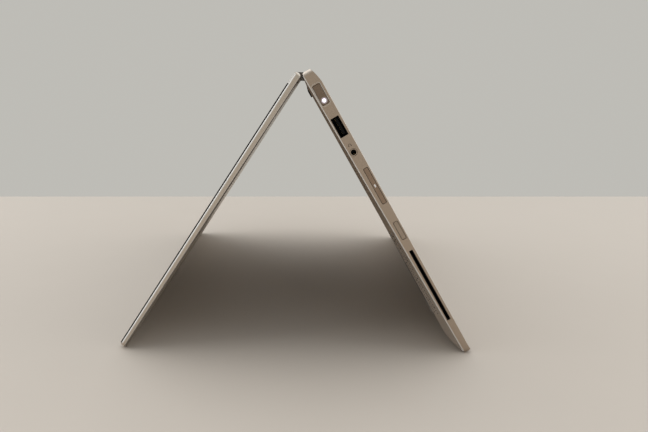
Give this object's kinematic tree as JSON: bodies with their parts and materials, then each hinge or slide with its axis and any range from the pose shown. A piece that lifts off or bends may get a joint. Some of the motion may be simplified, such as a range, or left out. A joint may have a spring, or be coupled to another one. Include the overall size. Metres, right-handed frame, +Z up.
{
  "type": "convertible laptop computer",
  "caption": "Thin aluminium laptop whose screen folds right round on geared double hinges, standing like a tent on the front edges of its lid and base.",
  "frame": {"origin": "on the floor, under the middle of the standing tent", "axes": "+Z up; +X to the user's left side of the base (the pictured side); -Y is the side that the screen faces, +Y the side that the keyboard faces"},
  "size_m": [0.325, 0.238, 0.1863],
  "materials": {
    "case_aluminium": "fine bead-blasted, warm silver, bright bevels",
    "underside": "bead-blasted, warm silver",
    "lid_aluminium": "bead-blasted, warm silver, bright chamfer",
    "key_caps": "satin silver-grey caps",
    "tray_steel": "plain sheet",
    "trackpad_glass": "satin, opaque tinted",
    "circuit_board": "solder mask",
    "drive_card": "solder mask with black chips",
    "copper": "bare copper",
    "fan_plastic": "black moulded",
    "battery_wrap": "black film",
    "speaker_plastic": "black moulded",
    "button_metal": "anodised, darker than the case",
    "light_window": "translucent, lit white",
    "port_metal": "dark plated shells",
    "port_plastic": "black moulded",
    "foot_rubber": "matt dark grey",
    "screw_steel": "plated",
    "hinge_steel": "ground",
    "gear_steel": "machined, greased",
    "link_metal": "dark polished",
    "display_module": "black film over a metal frame",
    "screen_glass": "gloss black, switched off",
    "gasket_rubber": "matt black",
    "camera_black": "black"
  },
  "bodies": {
    "base": {"top_case": "case_aluminium", "bottom_cover": "underside", "keyboard_tray": "tray_steel", "trackpad_bracket": "tray_steel", "mainboard": "circuit_board", "heat_pipe": "copper", "fan_housing_left": "fan_plastic", "fan_housing_right": "fan_plastic", "battery": "battery_wrap", "ssd": "drive_card", "wireless_card": "drive_card", "speaker_left": "speaker_plastic", "speaker_right": "speaker_plastic", "side_button_boards": "circuit_board", "left_port_board": "circuit_board", "right_port_board": "circuit_board", "left_usb_port": "port_metal", "right_usb_port_rear": "port_metal", "right_usb_port_front": "port_metal", "audio_socket": "port_plastic", "card_reader": "port_plastic", "wide_video_port": "port_metal", "mini_video_port": "port_metal", "power_inlet": "port_plastic", "rear_foot": "foot_rubber", "front_foot": "foot_rubber", "bottom_screws": "screw_steel", "base_hinge_left": "hinge_steel", "base_hinge_right": "hinge_steel", "base_hinge_gears": "gear_steel", "base_hinge_screws": "screw_steel"},
    "function_keys": {"function_keys": "key_caps"},
    "number_keys": {"number_keys": "key_caps"},
    "upper_letter_keys": {"upper_letter_keys": "key_caps"},
    "home_letter_keys": {"home_letter_keys": "key_caps"},
    "lower_letter_keys": {"lower_letter_keys": "key_caps"},
    "bottom_keys": {"bottom_keys": "key_caps"},
    "space_bar": {"space_bar": "key_caps"},
    "trackpad": {"trackpad": "trackpad_glass"},
    "fan_left": {"fan_rotor_left": "fan_plastic"},
    "fan_right": {"fan_rotor_right": "fan_plastic"},
    "power_button": {"power_button": "button_metal", "power_light": "light_window"},
    "volume_rocker": {"volume_rocker": "button_metal"},
    "home_button": {"home_button": "button_metal"},
    "links": {"hinge_link_left": "link_metal", "hinge_link_right": "link_metal", "hinge_link_caps": "link_metal"},
    "idlers_base_side": {"idler_gears_base_side": "gear_steel"},
    "idlers_lid_side": {"idler_gears_lid_side": "gear_steel"},
    "lid": {"lid_hinge_gears": "gear_steel", "lid_hinge_left": "hinge_steel", "lid_hinge_right": "hinge_steel", "lid_hinge_screws": "screw_steel", "lid_cover": "lid_aluminium", "display_panel": "display_module", "cover_glass": "screen_glass", "glass_gasket": "gasket_rubber", "camera_module": "camera_black", "microphones": "circuit_board"}
  },
  "joints": [
    {"name": "base_link_hinge", "type": "hinge", "parent": "base", "child": "links", "pos_m": [0, 0.00466, 0.18174], "axis": [1, 0, 0], "range_deg": [-148.35, 31.65]},
    {"name": "link_lid_hinge", "type": "hinge", "parent": "links", "child": "lid", "pos_m": [0, -0.00344, 0.18182], "axis": [1, 0, 0], "range_deg": [-148.35, 31.65]},
    {"name": "idler_base_side_spin", "type": "hinge", "parent": "links", "child": "idlers_base_side", "pos_m": [0, 0.00196, 0.18176], "axis": [1, 0, 0], "range_deg": [-148.35, 31.65]},
    {"name": "idler_lid_side_spin", "type": "hinge", "parent": "links", "child": "idlers_lid_side", "pos_m": [0, -0.00074, 0.18179], "axis": [1, 0, 0], "range_deg": [-31.65, 148.35]},
    {"name": "function_keys_press", "type": "slide", "parent": "base", "child": "function_keys", "axis": [0, -0.8564, -0.5163], "range_m": [0, 0.0012], "stiffness_N_per_m": 400, "springref_m": -0.001},
    {"name": "number_keys_press", "type": "slide", "parent": "base", "child": "number_keys", "axis": [0, -0.8564, -0.5163], "range_m": [0, 0.0012], "stiffness_N_per_m": 400, "springref_m": -0.001},
    {"name": "upper_letter_keys_press", "type": "slide", "parent": "base", "child": "upper_letter_keys", "axis": [0, -0.8564, -0.5163], "range_m": [0, 0.0012], "stiffness_N_per_m": 400, "springref_m": -0.001},
    {"name": "home_letter_keys_press", "type": "slide", "parent": "base", "child": "home_letter_keys", "axis": [0, -0.8564, -0.5163], "range_m": [0, 0.0012], "stiffness_N_per_m": 400, "springref_m": -0.001},
    {"name": "lower_letter_keys_press", "type": "slide", "parent": "base", "child": "lower_letter_keys", "axis": [0, -0.8564, -0.5163], "range_m": [0, 0.0012], "stiffness_N_per_m": 400, "springref_m": -0.001},
    {"name": "bottom_keys_press", "type": "slide", "parent": "base", "child": "bottom_keys", "axis": [0, -0.8564, -0.5163], "range_m": [0, 0.0012], "stiffness_N_per_m": 400, "springref_m": -0.001},
    {"name": "space_bar_press", "type": "slide", "parent": "base", "child": "space_bar", "axis": [0, -0.8564, -0.5163], "range_m": [0, 0.0012], "stiffness_N_per_m": 400, "springref_m": -0.001},
    {"name": "trackpad_click", "type": "hinge", "parent": "base", "child": "trackpad", "pos_m": [0, 0.07967, 0.06524], "axis": [-1, 0, 0], "range_deg": [0, 0.286], "stiffness_Nm_per_rad": 7, "springref_deg": -0.17},
    {"name": "fan_left_spin", "type": "hinge", "parent": "base", "child": "fan_left", "pos_m": [0.072, 0.03061, 0.13666], "axis": [0, 0.8564, 0.5163], "continuous": true},
    {"name": "fan_right_spin", "type": "hinge", "parent": "base", "child": "fan_right", "pos_m": [-0.072, 0.03061, 0.13666], "axis": [0, 0.8564, 0.5163], "continuous": true},
    {"name": "power_button_press", "type": "slide", "parent": "base", "child": "power_button", "axis": [-1, 0, 0], "range_m": [0, 0.0004], "stiffness_N_per_m": 2000, "springref_m": -0.0003},
    {"name": "home_button_press", "type": "slide", "parent": "base", "child": "home_button", "axis": [-1, 0, 0], "range_m": [0, 0.0004], "stiffness_N_per_m": 2000, "springref_m": -0.0003},
    {"name": "volume_rocker_tilt", "type": "hinge", "parent": "base", "child": "volume_rocker", "pos_m": [0.1601, 0.04824, 0.11448], "axis": [0, 0.8564, 0.5163], "range_deg": [-1.2, 1.2], "stiffness_Nm_per_rad": 0.6}
  ],
  "couplings": [
    {"joint": "link_lid_hinge", "follows": "base_link_hinge", "ratio": 1},
    {"joint": "idler_base_side_spin", "follows": "base_link_hinge", "ratio": 1},
    {"joint": "idler_lid_side_spin", "follows": "base_link_hinge", "ratio": -1}
  ]
}
